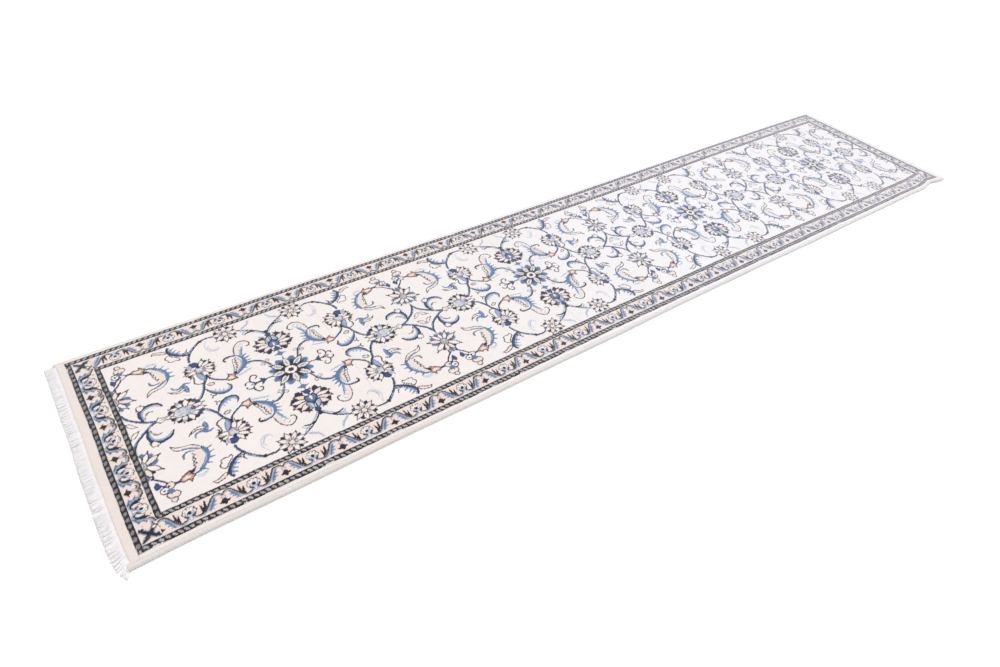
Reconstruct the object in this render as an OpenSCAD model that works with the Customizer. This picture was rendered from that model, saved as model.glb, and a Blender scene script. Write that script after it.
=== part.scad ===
// Hand-knotted runner rug lying flat, in four sections that fold on each other.
// Origin: centre of the underside. +X runs along the rug to its far end, +Y to its
// left edge, +Z up through the pile. Millimetres.

/* [Rug] */
// Width over the two side cords
rug_w = 800; // [700:5:950]
// Length of the knotted area, without end strips and fringes
pile_l = 3782; // [3582:10:4182]
// Thickness of the woven foundation
foundation_t = 4; // [3:0.5:5]
// Height of the wool pile above the foundation
pile_t = 8; // [6:0.5:10]

/* [Bands along the long sides] */
// Width of a side cord
selvedge_w = 8; // [6:0.5:10]
// Plain pile between the side cord and the outer guard
edge_side_w = 9; // [6:1:20]
// Outer guard stripe
outer_guard_side_w = 16; // [12:1:20]
// Main border
border_side_w = 50; // [40:1:60]
// Inner guard stripe
inner_guard_side_w = 16; // [12:1:20]

/* [Bands across the ends] */
// Plain pile between the end strip and the outer guard
edge_end_w = 15; // [12:1:35]
// Outer guard stripe
outer_guard_end_w = 15; // [12:1:20]
// Main border
border_end_w = 47; // [40:1:60]
// Inner guard stripe
inner_guard_end_w = 15; // [12:1:20]

/* [Ends] */
// Flat-woven strip beyond the pile
kilim_l = 8; // [3:1:10]
// Free length of the fringe beyond the end strip
fringe_l = 34; // [20:1:34]
// Number of tassels in a fringe
tassels = 75; // [50:1:76]
// Diameter of a tassel
tassel_d = 4; // [3:0.5:4]

/* [Folds] */
// Distance of the two end folds from the centre fold
end_fold_x = 970; // [970:1:1000]
// Gap between two sections at a fold line
fold_gap = 0.4; // [0.3:0.1:1]

/* [Hidden] */
rug_t = foundation_t + pile_t;
knot_row = 3;
weave_grip = 3;
cord_round = 48;
tassel_round = 24;

// A section: name, x where it starts, x where it ends, and which end of the rug it
// holds (-1 near, 1 far, 0 none).
NAME = 0;
FROM = 1;
TO = 2;
END = 3;
SECTIONS = [
    ["near_end", -pile_l / 2, -end_fold_x - fold_gap / 2, -1],
    ["near_middle", -end_fold_x + fold_gap / 2, -fold_gap / 2, 0],
    ["far_middle", fold_gap / 2, end_fold_x - fold_gap / 2, 0],
    ["far_end", end_fold_x + fold_gap / 2, pile_l / 2, 1]
];

// A band of pile: name, width along the long sides, width across the ends, colour.
SIDE_W = 1;
END_W = 2;
COLOUR = 3;
BANDS = [
    ["edge_band", edge_side_w, edge_end_w, "ivory"],
    ["outer_guard", outer_guard_side_w, outer_guard_end_w, "darkslategray"],
    ["main_border", border_side_w, border_end_w, "burlywood"],
    ["inner_guard", inner_guard_side_w, inner_guard_end_w, "slategray"]
];
FIELD = len(BANDS);
SIDES = [["left", 1], ["right", -1]];

NODES = [
    for (s = SECTIONS) each concat(
        [str(s[NAME], "_foundation"), str(s[NAME], "_field_pile")],
        [for (side = SIDES) str(s[NAME], "_", side[NAME], "_selvedge")],
        [for (side = SIDES) for (b = BANDS) str(s[NAME], "_", side[NAME], "_", b[NAME])],
        s[END] == 0 ? [] : [for (b = BANDS) str(s[NAME], "_cross_", b[NAME])],
        s[END] == 0 ? [] : [str(s[NAME], "_kilim_strip"), str(s[NAME], "_fringe")]
    )
];
node = "all";

// Distance from the side cords' outer face to the outer face of band i, and from the
// end of the pile to the outer face of band i.
function side_inset(i) = i == 0 ? selvedge_w : side_inset(i - 1) + BANDS[i - 1][SIDE_W];
function end_inset(i) = i == 0 ? 0 : end_inset(i - 1) + BANDS[i - 1][END_W];
function half_w(i) = rug_w / 2 - side_inset(i);

// Where band i, or the field, starts and ends along X within a section.
function inner_from(s, i) = s[FROM] + (s[END] == -1 ? end_inset(i) : 0);
function inner_to(s, i) = s[TO] - (s[END] == 1 ? end_inset(i) : 0);
function end_x(s) = s[END] == -1 ? s[FROM] : s[TO];

module block(from, to) {
    translate(from) cube(to - from);
}

// A block that starts at the end of the pile, start further out, and is length long.
module end_block(s, start, length, half, height) {
    x1 = end_x(s) + s[END] * start;
    x2 = x1 + s[END] * length;
    block([min(x1, x2), -half, 0], [max(x1, x2), half, height]);
}

// Warps and wefts: the edge warps run on into the side cords.
module foundation(s) {
    half = rug_w / 2 - selvedge_w + weave_grip;
    color("linen") block([s[FROM], -half, 0], [s[TO], half, foundation_t]);
}

module field_pile(s) {
    half = half_w(FIELD);
    color("floralwhite")
        block([inner_from(s, FIELD), -half, foundation_t], [inner_to(s, FIELD), half, rug_t]);
}

// The length of band i along one long side.
module side_band(s, i, side) {
    outer = side * half_w(i);
    inner = side * half_w(i + 1);
    color(BANDS[i][COLOUR])
        block([inner_from(s, i + 1), min(outer, inner), foundation_t],
              [inner_to(s, i + 1), max(outer, inner), rug_t]);
}

// The stretch of band i across the end of the rug, corners included.
module cross_band(s, i) {
    outer = end_x(s) - s[END] * end_inset(i);
    inner = end_x(s) - s[END] * end_inset(i + 1);
    color(BANDS[i][COLOUR])
        block([min(outer, inner), -half_w(i), foundation_t],
              [max(outer, inner), half_w(i), rug_t]);
}

// Rounded cord along one long side, overcast round the outermost warps.
module selvedge(s, side) {
    r = selvedge_w / 2;
    x1 = s[FROM] - (s[END] == -1 ? kilim_l : 0);
    x2 = s[TO] + (s[END] == 1 ? kilim_l : 0);
    mid = side * (rug_w / 2 - r);
    warp_edge = side * (rug_w / 2 - selvedge_w + weave_grip);
    slot_from = side * (rug_w / 2 - selvedge_w - 1);
    color("antiquewhite") difference() {
        translate([x1, mid, 0]) rotate([90, 0, 90]) linear_extrude(x2 - x1) {
            translate([0, r]) circle(r, $fn = cord_round);
            translate([0, rug_t - 2 - r]) circle(r, $fn = cord_round);
            translate([-r, r]) square([selvedge_w, rug_t - 2 - selvedge_w]);
        }
        block([x1 - 1, min(warp_edge, slot_from), -1],
              [x2 + 1, max(warp_edge, slot_from), foundation_t]);
    }
}

// Flat weave that locks the last row of knots.
module kilim_strip(s) {
    half = rug_w / 2 - selvedge_w + weave_grip;
    color("white") end_block(s, 0, kilim_l, half, foundation_t);
}

// Row of warp knots with the free warp bundles beyond it.
module fringe(s) {
    pitch = (rug_w - tassel_d) / (tassels - 1);
    color("snow") {
        end_block(s, kilim_l, knot_row, rug_w / 2, foundation_t);
        for (i = [0 : tassels - 1])
            translate([end_x(s) + s[END] * (kilim_l + knot_row / 2),
                       (tassel_d - rug_w) / 2 + i * pitch, tassel_d / 2])
                rotate([0, s[END] * 90, 0])
                    cylinder(d = tassel_d, h = fringe_l - knot_row / 2, $fn = tassel_round);
    }
}

function wanted(s, part) = node == "all" || node == str(s[NAME], "_", part);

for (s = SECTIONS) {
    if (wanted(s, "foundation")) foundation(s);
    if (wanted(s, "field_pile")) field_pile(s);
    for (side = SIDES) {
        if (wanted(s, str(side[NAME], "_selvedge"))) selvedge(s, side[1]);
        for (i = [0 : FIELD - 1])
            if (wanted(s, str(side[NAME], "_", BANDS[i][NAME]))) side_band(s, i, side[1]);
    }
    if (s[END] != 0) {
        for (i = [0 : FIELD - 1])
            if (wanted(s, str("cross_", BANDS[i][NAME]))) cross_band(s, i);
        if (wanted(s, "kilim_strip")) kilim_strip(s);
        if (wanted(s, "fringe")) fringe(s);
    }
}
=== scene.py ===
"""Looks of the hand-knotted runner rug around its CAD frame: pile, guards, border, back, side cords and fringes.

The rug's frame: origin at the centre of the underside, +X to the far end, +Y to the left edge, +Z up. Patterns are
drawn in millimetres, as a weaver's cartoon is, and knotted into the pile's vertices.
"""

import math

import bpy
import numpy as np
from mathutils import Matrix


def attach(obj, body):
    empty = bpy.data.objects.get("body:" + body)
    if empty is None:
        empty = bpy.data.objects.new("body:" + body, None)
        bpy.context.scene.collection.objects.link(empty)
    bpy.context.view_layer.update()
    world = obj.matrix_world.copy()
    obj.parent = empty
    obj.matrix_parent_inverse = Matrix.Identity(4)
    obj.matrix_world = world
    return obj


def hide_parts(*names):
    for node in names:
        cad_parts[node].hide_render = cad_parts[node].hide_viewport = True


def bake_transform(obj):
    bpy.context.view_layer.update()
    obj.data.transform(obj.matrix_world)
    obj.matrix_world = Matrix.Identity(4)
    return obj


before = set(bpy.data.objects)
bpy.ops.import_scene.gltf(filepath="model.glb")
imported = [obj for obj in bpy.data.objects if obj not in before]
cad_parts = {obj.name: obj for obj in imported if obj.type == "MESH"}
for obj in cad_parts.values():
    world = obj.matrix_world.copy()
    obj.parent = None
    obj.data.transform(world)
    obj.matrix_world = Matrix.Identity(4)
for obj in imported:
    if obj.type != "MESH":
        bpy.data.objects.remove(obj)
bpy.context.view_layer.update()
SCENE = bpy.context.scene

# ---------------------------------------------------------------- camera, first so that it frames the rug
camera = bpy.data.objects.new("camera", bpy.data.cameras.new("camera"))
camera.data.sensor_width = 36
camera.data.lens = 25.16
camera.data.clip_end = 100
camera.location = (-1.786, -1.541, 1.597)
camera.rotation_euler = [math.radians(a) for a in (47.75, -4.38, -35.93)]
SCENE.collection.objects.link(camera)
SCENE.camera = camera

# ---------------------------------------------------------------- sizes of the rug, in mm
PILE_X, PILE_Y = 1891, 392  # half the length and half the width of the knotted pile
FIELD_X, FIELD_Y = 1799, 301  # the same of the field inside the borders
STRIP = 8  # the flat-woven strip beyond the pile
# band: outer and inner half-width across the rug, outer and inner half-length along it
BANDS = {
    "edge_band": (PILE_Y, 383, PILE_X, 1876),
    "outer_guard": (383, 367, 1876, 1861),
    "main_border": (367, 317, 1861, 1814),
    "inner_guard": (317, FIELD_Y, 1814, FIELD_X),
}
REPEAT = 899.5  # from one medallion to the next
SIDE_UNIT, END_UNIT = 152.09, 131.0  # from one flower of the border to the next
KNOT = 2.2  # pitch of the knots
ROW = 4.2  # pitch of the rows on the back, and of the wraps round a side cord

# ---------------------------------------------------------------- yarns and squared paper
# Yarn colours as they look on the rug, sRGB 0-255.
YARNS = {
    "ivory": (243, 234, 230),
    "cream": (241, 232, 227),
    "peach": (240, 221, 211),
    "salmon": (196, 152, 138),
    "tan": (198, 182, 166),
    "grey": (170, 168, 170),
    "sage": (116, 121, 121),
    "ash": (184, 182, 184),
    "fog": (172, 166, 170),
    "moss": (136, 142, 140),
    "smoke": (138, 134, 143),
    "pale": (204, 207, 222),
    "light": (158, 174, 199),
    "mid": (92, 120, 160),
    "royal": (52, 70, 118),
    "navy": (31, 33, 64),
    "brown": (72, 54, 56),
    "black": (31, 23, 27),
    "wine": (62, 30, 33),
}
INDEX = {name: i for i, name in enumerate(YARNS)}


def curve(points, closed=False):
    """A Catmull-Rom curve through given points, seven steps to each. A point given twice makes a corner."""
    p = np.array(points, float)
    if closed:
        q = np.vstack([p[-1:], p, p[:2]])
    else:
        q = np.vstack([2 * p[:1] - p[1:2], p, 2 * p[-1:] - p[-2:-1]])
    t = np.linspace(0, 1, 7, endpoint=False)[:, None]
    out = []
    for a, b, c, d in zip(q, q[1:], q[2:], q[3:]):
        out.append(b + 0.5 * ((c - a) * t + (2 * a - 5 * b + 4 * c - d) * t**2 + (3 * b - 3 * c + d - a) * t**3))
    return np.vstack(out + ([] if closed else [p[-1:]]))


def polar(r, degrees, x=0, y=0, side=1):
    """The point at distance r from (x, y), at this angle. Side -1 mirrors it to the other side of x."""
    a = math.radians(degrees)
    return x + side * r * math.cos(a), y + r * math.sin(a)


class Cartoon:
    """The weaver's squared paper at 1 mm: one yarn index per square. Shapes are in mm from its origin plus shift."""

    def __init__(self, x0, x1, y0, y1, ground):
        self.x0, self.y0, self.shift = x0, y0, np.zeros(2)
        self.yarn = np.full((round(x1 - x0), round(y1 - y0)), INDEX[ground], np.uint8)

    def window(self, p, margin):
        """The squares near the points p: their slices and their centres."""
        lo = np.floor(p.min(0) - margin - (self.x0, self.y0)).astype(int)
        hi = np.ceil(p.max(0) + margin - (self.x0, self.y0)).astype(int)
        lo, hi = np.clip(lo, 0, self.yarn.shape), np.clip(hi, 0, self.yarn.shape)
        x = self.x0 + np.arange(lo[0], hi[0]) + 0.5
        y = self.y0 + np.arange(lo[1], hi[1]) + 0.5
        return (slice(lo[0], hi[0]), slice(lo[1], hi[1])), *np.meshgrid(x, y, indexing="ij")

    def fill(self, points, yarn, bend=True):
        p = (curve(points, closed=True) if bend else np.array(points, float)) + self.shift
        box, x, y = self.window(p, 1)
        if not x.size:
            return
        inside = np.zeros(x.shape, bool)
        for (xa, ya), (xb, yb) in zip(p, np.roll(p, -1, 0)):
            if ya != yb:
                inside ^= ((ya > y) != (yb > y)) & (x < (xb - xa) * (y - ya) / (yb - ya) + xa)
        self.yarn[box][inside] = INDEX[yarn]

    def line(self, points, width, yarn, closed=False, bend=True):
        """A stroke. Its width is one number, or a list that it runs through from end to end."""
        p = np.array(points, float) + self.shift
        if bend and len(p) > 2:
            p = curve(p, closed)
        if closed:
            p = np.vstack([p, p[:1]])
        widths = np.atleast_1d(width).astype(float)
        run = np.r_[0, np.cumsum(np.hypot(*np.diff(p, axis=0).T))]
        s = np.linspace(0, run[-1], max(2, int(run[-1] / 0.7)))
        q = np.stack([np.interp(s, run, p[:, k]) for k in (0, 1)], 1)
        r = (np.interp(s / max(s[-1], 1e-9), np.linspace(0, 1, len(widths)), widths) + 0.7) / 2
        box, x, y = self.window(q, r.max() + 1)
        if not x.size:
            return
        near = np.zeros(x.shape, bool)
        for (cx, cy), cr in zip(q, r):
            near |= (x - cx) ** 2 + (y - cy) ** 2 <= cr * cr
        self.yarn[box][near] = INDEX[yarn]

    def shape(self, points, yarn, edge="brown", width=2.2):
        self.fill(points, yarn)
        if edge:
            self.line(points, width, edge, closed=True)

    def spot(self, x, y, r, yarn, edge=None, squash=1.0):
        t = np.linspace(0, 2 * math.pi, 20, endpoint=False)
        for grow, colour in ((2.0, edge), (0.0, yarn)):
            if colour:
                round_points = [x + (r + grow) * np.cos(t), y + (r + grow) * squash * np.sin(t)]
                self.fill(np.stack(round_points, 1), colour, bend=False)

    def petal(self, x, y, angle, r0, r1, wide, yarn, edge="brown", width=2.0, blunt=False):
        """A petal from r0 to r1 out from (x, y), pointed or blunt, with a dark edge."""
        c, s = math.cos(math.radians(angle)), math.sin(math.radians(angle))
        d = r1 - r0
        if blunt:
            local = [(r0, -wide * 0.22), (r0 + d * 0.6, -wide * 0.5), (r1, -wide * 0.2), (r1, wide * 0.2),
                     (r0 + d * 0.6, wide * 0.5), (r0, wide * 0.22)]
        else:
            local = [(r0, -wide * 0.2), (r0 + d * 0.5, -wide * 0.5), (r1, 0), (r1, 0), (r0 + d * 0.5, wide * 0.5),
                     (r0, wide * 0.2)]
        self.shape([(x + c * u - s * v, y + s * u + c * v) for u, v in local], yarn, edge, width)


# ---------------------------------------------------------------- the field: one quarter of a repeat
# x runs along the rug from the medallion's centre to the half-repeat line, y across it from the centre line to the
# inner guard, in mm. The loom mirrors the quarter both ways and repeats it.
def medallion(c):
    for ang in (0, 90, 180, 270):
        for a in (ang - 22, ang + 22):  # blue lobes on both sides of each short petal
            c.petal(0, 0, a, 26, 62, 23, "mid", "light", 1.6, blunt=True)
            c.petal(0, 0, a, 24, 52, 15, "royal", None)
            c.petal(0, 0, a, 22, 42, 14, "navy", None)
        c.petal(0, 0, ang, 17, 60, 19, "ivory", "brown", 2.2)
        c.petal(0, 0, ang, 25, 50, 8, "grey" if ang % 180 == 0 else "tan", None)
    for ang in (44, 136, 224, 316):
        c.petal(0, 0, ang, 19, 68, 20, "ivory", "black", 2.8)
        c.petal(0, 0, ang, 27, 57, 8, "grey", None)
        c.line([polar(62, ang), polar(69, ang)], 4, "black")
    c.spot(0, 0, 21.5, "navy")
    for ang in range(0, 360, 45):
        c.spot(*polar(12, ang), 6.2, "ivory")
    c.spot(0, 0, 12, "ivory")
    for ang in (42, 138, 222, 318):
        c.spot(*polar(23, ang), 6.2, "black")
    c.spot(0, 0, 8.5, "black")
    c.spot(0, 0, 6, "wine")


def fork(c):
    """The calyx and double scroll on the centre line, on each side of the medallion."""
    c.line([(57, 0), (74, 0)], 3, "navy")
    c.fill([(72, 0), (72, 0), (80, 7), (92, 16), (92, 16), (90, 0), (90, 0), (92, -16), (92, -16), (80, -7)], "royal")
    c.line([(92, 1), (106, 3), (115, 13), (114, 27), (106, 36), (97, 33), (95, 24), (101, 20)], [3, 3.4, 3.4, 2.6],
           "navy")
    c.line([(115, 14), (123, 16), (130, 12), (131, 6)], [3, 3, 4], "navy")
    c.line([(108, 0), (118, 2)], 2.4, "mid")


def vine(c, points, width=3.2, second=None):
    """A dark stem, with a lighter yarn beside it where second gives its offset and yarn."""
    if second:
        (dx, dy), yarn = second
        c.line([(x + dx, y + dy) for x, y in points], 3, yarn)
    c.line(points, width, "navy")


def saz_leaf(c):
    """The large C-shaped leaf beside the medallion, with its calyx, serrated blue back and hooked upper leaf."""
    c.line([(141, 57), (118, 61), (94, 67)], [5, 5, 3], "pale")
    c.line([(141, 59), (118, 63), (96, 69)], 1.8, "light")
    # peach inside, then the back over it
    c.fill([(140, 74), (118, 86), (104, 104), (104, 124), (114, 138), (124, 128), (122, 112), (126, 96), (134, 84)],
           "peach")
    back = [(136, 68), (117, 82), (103, 98), (98, 118), (102, 136), (113, 149), (130, 153), (145, 150)]
    c.line(back, [6, 11, 14, 12, 8, 5, 5, 5], "mid")
    for (x, y), (dx, dy) in zip([(110, 85), (99, 96), (92, 108), (90, 121), (92, 133)],
                                [(-10, -8), (-12, -4), (-13, 3), (-12, 7), (-9, 10)]):
        c.line([(x + 6, y), (x + dx * 0.9, y + dy * 0.9)], [7, 2], "mid")
    c.line([(128, 82), (112, 98), (108, 116), (112, 134)], [3, 4, 3], "light")
    # brown serrated inner edge
    inner = [(137, 78), (131, 84), (133, 90), (125, 93), (128, 100), (120, 103), (125, 110), (119, 115), (124, 121),
             (118, 127), (121, 134), (115, 140)]
    c.line(inner, 2.4, "brown", bend=False)
    c.line([(140, 84), (134, 98), (131, 112), (129, 126), (124, 138)], 2.0, "sage")
    c.line([(114, 150), (130, 154), (143, 151), (149, 144), (146, 137)], [3, 4, 6, 4], "black")
    c.line([(112, 146), (128, 149), (139, 146)], 2.4, "light")
    # upper hook
    c.fill([(97, 142), (92, 158), (88, 172), (82, 184), (74, 186), (66, 180), (66, 180), (63, 192), (72, 203),
            (86, 208), (99, 203), (109, 190), (113, 172), (113, 154)], "ivory")
    c.fill([(104, 146), (102, 160), (98, 176), (90, 190), (97, 194), (106, 180), (110, 160)], "peach")
    for x, y in ((84, 176), (77, 188), (88, 162)):
        c.line([(x, y), (x + 9, y + 6)], [1.4, 2.6], "light")
    c.line([(114, 155), (111, 175), (102, 194), (86, 205), (70, 200), (61, 187), (64, 176), (72, 175)],
           [2.4, 2.6, 3, 3.2, 3], "brown")
    c.line([(99, 143), (94, 160), (88, 172), (80, 182)], [9, 6, 1.6], "light")
    c.line([(97, 143), (92, 158), (86, 171)], [3, 2], "mid")
    # calyx
    c.shape([(171, 62), (171, 62), (160, 72), (158, 83), (158, 83), (148, 76), (137, 76), (137, 76), (142, 64),
             (140, 50), (140, 50), (152, 53), (160, 53)], "salmon", width=2.6)
    c.fill([(163, 62), (152, 70), (146, 62), (152, 57)], "peach")
    c.spot(137, 78, 5.5, "navy")
    c.spot(133, 74, 3.5, "royal")


HOOK = math.degrees(1.1)  # the turn of a petal's hooked tip


def palmette(c):
    """The large palmette across from the medallion: hooked petals with dark blots between them round a blue heart."""
    c.line([(0, 56), (0, 92)], 2.2, "mid")
    c.fill([(0, 74), (8, 80), (20, 83), (20, 83), (11, 87), (4, 92), (0, 100), (-4, 92), (-20, 83), (-8, 80)], "mid")
    y = 145
    for s in (1, -1):
        for ang, reach, size in ((-56, 46, 8), (-22, 47, 9), (3, 46, 8), (27, 45, 8), (51, 42, 8.5)):
            c.line([polar(18, ang, 0, y, s), polar(reach, ang, 0, y, s)], [4, size * 2], "navy")
        for ang, reach, wide, yarn in ((-74, 44, 15, "ivory"), (-38, 51, 18, "peach"), (-9, 58, 17, "ivory"),
                                       (15, 58, 16, "peach"), (38, 54, 17, "peach"), (66, 44, 13, "pale")):
            side = 90 - s * (90 - ang)
            c.petal(0, y, side, 12, reach, wide, yarn, "brown", 2.4)
            tip = polar(reach, side, 0, y)
            c.line([tip, polar(-7, side + s * HOOK, *tip)], 3, "brown")
        # pale blue lower petals and the small hooks by the stem
        c.shape([(s * 3, 160), (s * 3, 160), (s * 17, 152), (s * 19, 164), (s * 12, 178), (s * 2, 186),
                 (s * 2, 186)], "light", "navy", 2)
        c.line([(s * 8, 162), (s * 8, 174)], 4, "pale")
        c.line([(s * 14, 190), (s * 22, 187), (s * 27, 193)], 2.4, "brown")
    c.shape([(0, 162), (0, 162), (-14, 148), (-17, 134), (-9, 126), (0, 132), (9, 126), (17, 134), (14, 148)],
            "royal", "navy", 2)
    for s in (1, -1):
        c.fill([(s * 2, 154), (s * 12, 145), (s * 13, 134), (s * 7, 131), (s * 2, 140)], "mid")
    c.fill([(0, 150), (0, 150), (-4, 136), (0, 130), (4, 136)], "ivory")
    c.spot(0, 124, 3.5, "wine")
    c.shape([(0, 101), (8, 109), (8, 116), (0, 121), (-8, 116), (-8, 109)], "royal", "navy", 2)
    c.shape([(0, 180), (7, 187), (7, 195), (0, 199), (-7, 195), (-7, 187)], "royal", "navy", 2)
    c.fill([(0, 196), (6, 202), (7, 210), (0, 215), (-7, 210), (-6, 202)], "navy")


FOUR_YARNS = ("ivory", "peach", "ivory", "cream")  # round a flower, petal by petal


def upper_vines(c):
    """The stems from the palmette to the border-side rosette, with their split leaf and pale ghost leaf."""
    run = [(5, 208), (16, 222), (34, 238), (56, 252), (74, 262)]
    c.line([(x + 3, y - 6) for x, y in run[:4]], 3.4, "light")
    c.line(run, [4.4, 4, 4, 4.4], "navy")
    c.line([(26, 229), (38, 233), (50, 231), (58, 227)], [3, 6, 5, 3], "black")
    c.line([(44, 240), (58, 238), (63, 230)], [3, 4, 2.5], "light")
    c.line([(62, 247), (60, 256), (52, 266)], [3, 3], "light")
    c.line([(60, 256), (46, 264), (34, 276), (26, 292)], [2.4, 2.4, 2.0, 2.4], "pale")
    c.line([(50, 268), (38, 272), (30, 284), (26, 292)], [4, 7, 6, 2], "pale")
    c.line([(52, 262), (44, 270), (36, 272)], 2.0, "grey")
    c.line([(30, 293), (34, 280), (44, 271)], 1.8, "grey")


def rosette(c):
    """A small flower with eight pointed petals and dark wedges between them."""
    r = 36
    c.spot(0, 0, r * 0.66, "navy")
    for k in range(8):
        c.petal(0, 0, 32.5 + 45 * k, r * 0.3, r * 0.98, r * 0.42, ("navy", "royal")[k % 3 == 1], None,
                blunt=k % 2 == 0)
    for k in range(8):
        c.petal(0, 0, 10 + 45 * k, r * 0.12, r * 1.12, r * 0.42, FOUR_YARNS[k % 4])
        c.petal(0, 0, 10 + 45 * k, r * 0.2, r * 0.6, r * 0.14, "grey", None)
    c.spot(0, 0, r * 0.2, "peach", "brown")


def lotus(c):
    """The round flower on the winding stem, with its light leaf and brown hook."""
    c.spot(0, 0, 27, "navy", squash=1.1)
    for ang in (5, 33, 62, 126, 154, 182, 208, 236, 333):
        c.petal(0, 0, ang, 18, 42, 17, "navy" if ang not in (182, 62) else "royal", None, blunt=True)
    for k, (ang, reach) in enumerate([(-8, 46), (20, 42), (47, 47), (112, 46), (140, 47), (168, 46), (195, 42),
                                      (222, 47), (250, 46), (320, 44), (345, 42)]):
        c.petal(0, 0, ang, 8, reach, 15, FOUR_YARNS[k % 4])
    c.spot(0, 0, 13, "pale", "brown", squash=1.1)
    c.line([(-11, 5), (-12, -6), (-3, -13), (8, -10), (12, 0), (9, 8)], 2.4, "salmon")
    c.line([(-9, 2), (-6, -7), (3, -8)], 1.6, "brown")
    c.spot(1, 12, 5.5, "black", squash=0.8)
    c.shape([(-3, 28), (5, 20), (14, 18), (24, 22), (22, 34), (13, 41), (3, 38)],
            "royal", "navy", 2)
    c.shape([(20, 18), (28, 20), (30, 30), (22, 32)], "light", "pale", 1.6)
    c.shape([(14, -14), (3, -22), (-2, -38), (4, -54), (4, -54), (11, -42), (14, -28)],
            "light", "mid", 2)
    c.line([(22, -20), (18, -32), (20, -46)], [7, 6, 4], "ivory")
    c.line([(26, -18), (26, -34), (30, -48), (24, -58), (12, -62), (2, -56)],
           [2.4, 3, 3.4, 3.4, 3], "brown")
    c.line([(-8, -36), (-10, -46), (-14, -54)], [8, 5, 3], "black")


def split_leaf(c):
    c.line([(306, 112), (300, 100), (286, 98), (272, 108), (258, 104)], [4, 7, 8, 6, 3], "mid")
    c.line([(303, 106), (296, 100), (286, 101)], 2.4, "light")
    c.fill([(272, 104), (266, 92), (266, 78), (270, 66), (270, 66), (279, 76), (281, 92), (278, 102)], "mid")
    c.line([(272, 100), (272, 84), (272, 72)], 2.2, "light")
    c.shape([(314, 92), (304, 82), (292, 78), (280, 82), (274, 90), (284, 90), (294, 86), (304, 90)], "ivory",
            width=2.4)
    c.line([(314, 92), (318, 98)], 2.4, "brown")


def lower_vines(c):
    """The stems under the lotus: one to the centre-line flower, one to the saz leaf's calyx."""
    vine(c, [(210, 106), (214, 92), (224, 78), (231, 56), (243, 33), (258, 17)], [3.4, 3.6, 3.4, 3.4],
         ((3, 3), "mid"))
    vine(c, [(206, 92), (197, 80), (184, 70), (171, 62)], [3, 4.6, 4, 3.4], ((-1, 3), "light"))


def half_moon(c, back, inside, fill="mid"):
    """A crescent leaf: a thick back that thins to a curl, with a paler comb inside it."""
    c.fill(list(back) + list(reversed(inside)), "ivory")
    c.line(inside, [2, 5, 6, 4, 1.6], "light")
    mid = [((xa * 2 + xb) / 3, (ya * 2 + yb) / 3) for (xa, ya), (xb, yb) in zip(back, inside)]
    c.line(mid, [4, 8, 9, 6, 2], fill)
    c.line(back, [3, 3.2, 3.6, 3, 2.6], "navy")


def moon_a(c):
    half_moon(c, [(229, 54), (221, 33), (204, 15), (184, 9), (168, 16), (163, 31), (171, 44)],
              [(226, 50), (217, 38), (204, 26), (188, 20), (176, 22), (169, 32), (170, 42)])
    for x, y in ((196, 34), (186, 30), (206, 40)):
        c.line([(x + 3, y - 10), (x, y)], [5, 2], "light")
    c.line([(224, 24), (220, 14), (224, 8)], 2.6, "brown")
    c.line([(220, 16), (212, 14)], 2.6, "brown")
    c.shape([(216, 64), (205, 60), (200, 66), (210, 72), (218, 70)], "peach")


def axis_palmette(c):
    """The fan-shaped flower on the centre line, with its flame tail towards the half-repeat line."""
    c.shape([(35, 0), (35, 0), (47, 8), (55, 5), (69, 11), (69, 11), (77, 0), (69, -11), (69, -11), (55, -5),
             (47, -8)], "ivory", width=2)
    c.line([(49, 0), (69, 0)], 1.4, "mid")
    for s in (1, -1):
        for ang, yarn in ((22, "navy"), (52, "black"), (86, "navy"), (118, "black"), (150, "royal")):
            c.petal(0, 0, s * ang, 22, 46, 20, yarn, None, blunt=True)
    for s in (1, -1):
        for ang, reach, yarn in ((8, 44, "ivory"), (37, 49, "ivory"), (69, 47, "peach"), (102, 48, "ivory"),
                                 (134, 47, "peach"), (168, 50, "ivory")):
            c.petal(0, 0, s * ang, 12, reach, 17, yarn)
        c.line([(18, s * 8), (34, s * 22)], [4, 3], "grey")
        c.spot(-28, s * 27, 6.5, "royal")
        c.spot(14, s * 36, 5, "light")
    c.shape([(-24, 0), (-14, 14), (6, 20), (25, 15), (31, 0), (25, -15), (6, -20), (-14, -14)],
            "ivory", width=1.6)
    for s in (-16, -10, -5, 0, 5, 10, 16):
        c.line([(-20, s * 0.3), (2, s * 0.8), (27, s)], [2.6, 1.4], "light" if s % 10 else "fog")
    for s in (1, -1):
        c.line([(-8, s * 12), (8, s * 18), (22, s * 15)], 2.2, "mid")
        c.spot(16, s * 9, 3.2, "light")
    c.spot(-18, 0, 6, "black")
    c.spot(-18, 0, 3, "mid")


def middle_vines(c):
    """The stems from the centre-line flower round to the half-repeat flower."""
    vine(c, [(368, 2), (384, 6), (400, 16), (420, 32), (437, 50), (447, 72), (452, 96)], [3, 4, 3.4, 3.4],
         ((3, -3), "mid"))
    c.shape([(424, 9), (424, 9), (436, 11), (445, 19), (448, 32), (448, 32), (437, 27)], "ivory", width=1.6)


def moon_b(c):
    half_moon(c, [(404, 20), (410, 40), (406, 62), (390, 77), (368, 79), (351, 70), (344, 54)],
              [(400, 26), (401, 42), (396, 57), (384, 67), (368, 69), (356, 62), (348, 53)], "royal")
    c.line([(398, 22), (392, 40), (382, 48), (372, 46)], [2, 2.6, 3, 2], "brown")
    c.line([(396, 34), (386, 42)], 3, "tan")
    c.shape([(394, 66), (404, 66), (408, 74), (404, 84), (394, 84), (386, 80)], "ivory", width=2.4)
    c.line([(404, 70), (411, 66)], 2.2, "brown")
    c.line([(396, 84), (392, 90)], 2.2, "brown")


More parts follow.
